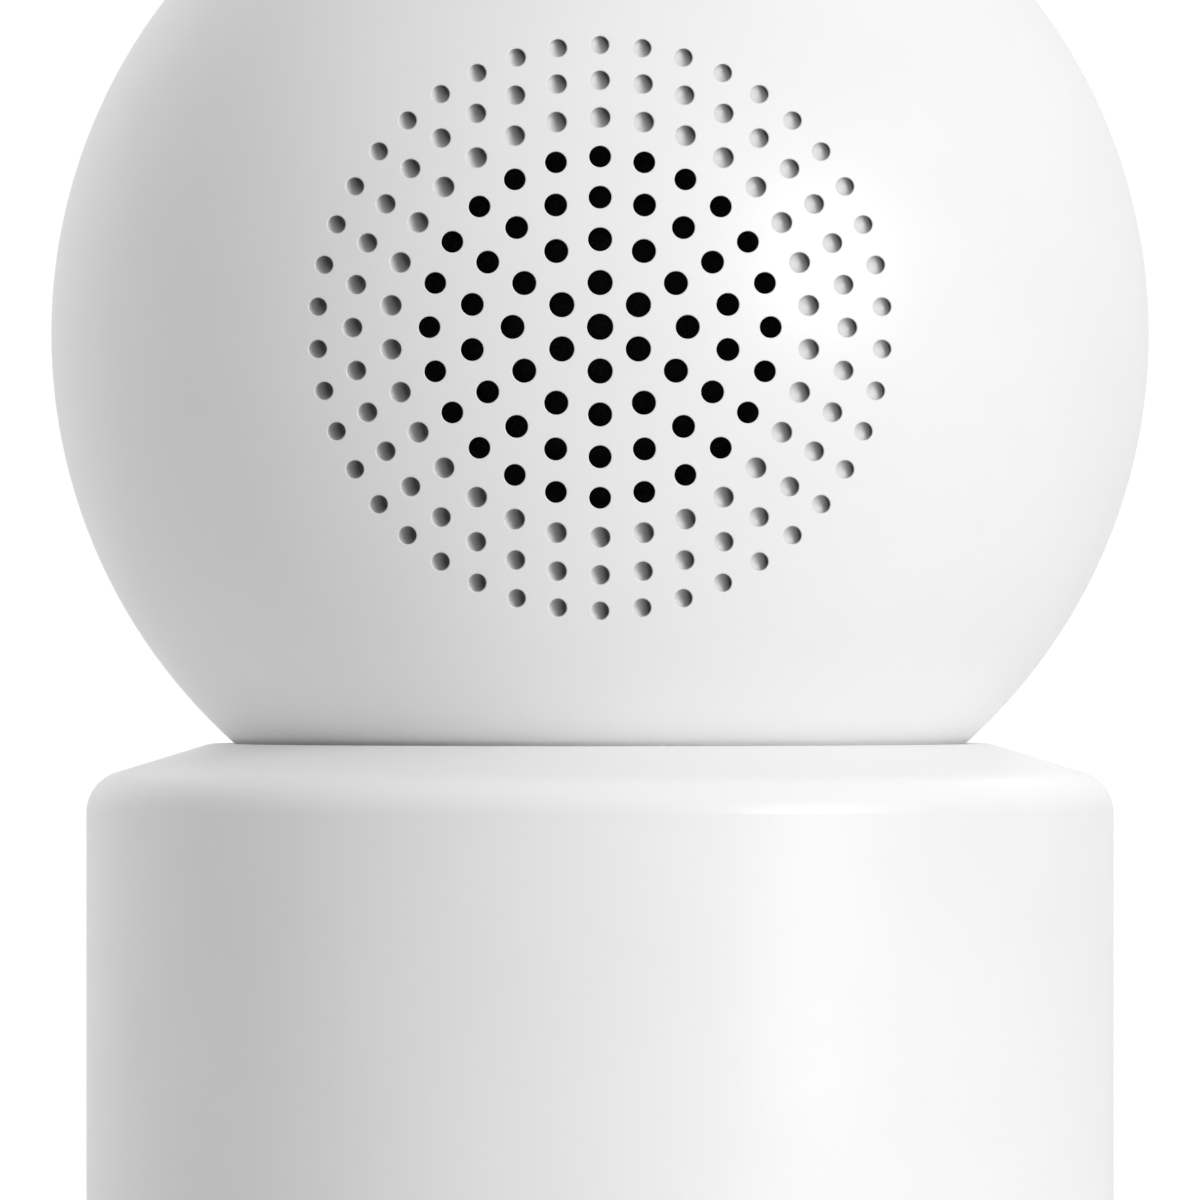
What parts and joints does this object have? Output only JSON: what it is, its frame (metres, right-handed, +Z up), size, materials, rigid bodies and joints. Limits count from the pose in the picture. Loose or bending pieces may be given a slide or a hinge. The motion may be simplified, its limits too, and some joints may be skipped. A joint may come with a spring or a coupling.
{
  "type": "smart speaker with pan-and-tilt camera ball",
  "caption": "Smart speaker whose ball head, with a round perforated grille behind and a lens window in front, pans and tilts in the coned collar of a cylindrical base.",
  "frame": {"origin": "centre of the foot's underside, on the pan axis", "axes": "+Z up along the pan axis; the loudspeaker grille faces -Y and the lens faces +Y; the tilt axis runs along X"},
  "size_m": [0.078, 0.0769, 0.115],
  "materials": {
    "white_plastic": "satin moulded",
    "black_gloss": "polished",
    "dark_plastic": "fine texture",
    "grey_plastic": "moulded",
    "natural_plastic": "moulded acetal",
    "lens_glass": "coated",
    "rubber": "matt",
    "steel": "plated",
    "brass": "turned",
    "aluminium": "extruded",
    "board_green": "solder mask",
    "cone_paper": "coated paper",
    "mesh_cloth": "woven"
  },
  "bodies": {
    "base": {"base_shell": "white_plastic", "bottom_cover": "white_plastic", "foot_ring": "rubber", "tripod_insert": "brass", "ballast_plate": "steel", "base_board": "board_green", "usb_socket": "steel", "chassis": "grey_plastic", "pan_motor": "steel", "pan_bush": "natural_plastic", "collar_seal": "rubber", "cover_screw_1": "steel", "cover_screw_2": "steel", "cover_screw_3": "steel", "chassis_screw_1": "steel", "chassis_screw_2": "steel", "chassis_screw_3": "steel"},
    "pan_carriage": {"turntable": "natural_plastic", "retaining_ring": "steel", "yoke": "grey_plastic", "tilt_gear": "natural_plastic", "yoke_bush_left": "natural_plastic", "yoke_bush_right": "natural_plastic", "yoke_screw_left": "steel", "yoke_screw_right": "steel", "gear_screw_1": "steel", "gear_screw_2": "steel", "yoke_cable": "dark_plastic"},
    "head": {"rear_shell": "white_plastic", "front_shell": "white_plastic", "face_window": "black_gloss", "lens_ring": "dark_plastic", "lens_barrel": "dark_plastic", "lens_glass": "lens_glass", "sensor_board": "board_green", "infrared_board": "board_green", "head_frame": "grey_plastic", "main_board": "board_green", "heat_sink": "aluminium", "wifi_antenna": "board_green", "speaker_frame": "dark_plastic", "speaker_magnet": "steel", "speaker_gasket": "rubber", "grille_cloth": "mesh_cloth", "tilt_motor": "steel", "tilt_pin_left": "steel", "tilt_pin_right": "steel", "card_socket": "steel", "reset_switch": "dark_plastic", "status_light": "natural_plastic", "microphone": "steel", "shell_screw_1": "steel", "shell_screw_2": "steel", "shell_screw_3": "steel", "shell_screw_4": "steel"},
    "pan_pinion": {"pan_pinion": "natural_plastic"},
    "tilt_pinion": {"tilt_pinion": "natural_plastic"},
    "speaker_cone": {"speaker_cone": "cone_paper"},
    "reset_button": {"reset_button": "grey_plastic"}
  },
  "joints": [
    {"name": "pan", "type": "hinge", "parent": "base", "child": "pan_carriage", "pos_m": [0, 0, 0.0326], "axis": [0, 0, 1], "range_deg": [-170, 170]},
    {"name": "tilt", "type": "hinge", "parent": "pan_carriage", "child": "head", "pos_m": [0, 0, 0.076], "axis": [1, 0, 0], "range_deg": [-10, 24]},
    {"name": "pan_pinion_spin", "type": "hinge", "parent": "base", "child": "pan_pinion", "pos_m": [0, 0.024, 0.0325], "axis": [0, 0, 1], "range_deg": [-690, 690]},
    {"name": "tilt_pinion_spin", "type": "hinge", "parent": "head", "child": "tilt_pinion", "pos_m": [-0.02895, 0, 0.0892], "axis": [1, 0, 0], "range_deg": [-36, 84]},
    {"name": "cone_travel", "type": "slide", "parent": "head", "child": "speaker_cone", "axis": [0, -1, 0], "range_m": [-0.0003, 0.0003], "stiffness_N_per_m": 400},
    {"name": "reset_press", "type": "slide", "parent": "head", "child": "reset_button", "axis": [-0.2821, -0.5225, 0.8046], "range_m": [0, 0.0004], "stiffness_N_per_m": 300}
  ],
  "couplings": [
    {"joint": "pan_pinion_spin", "follows": "pan", "ratio": -4},
    {"joint": "tilt_pinion_spin", "follows": "tilt", "ratio": 3.4}
  ]
}
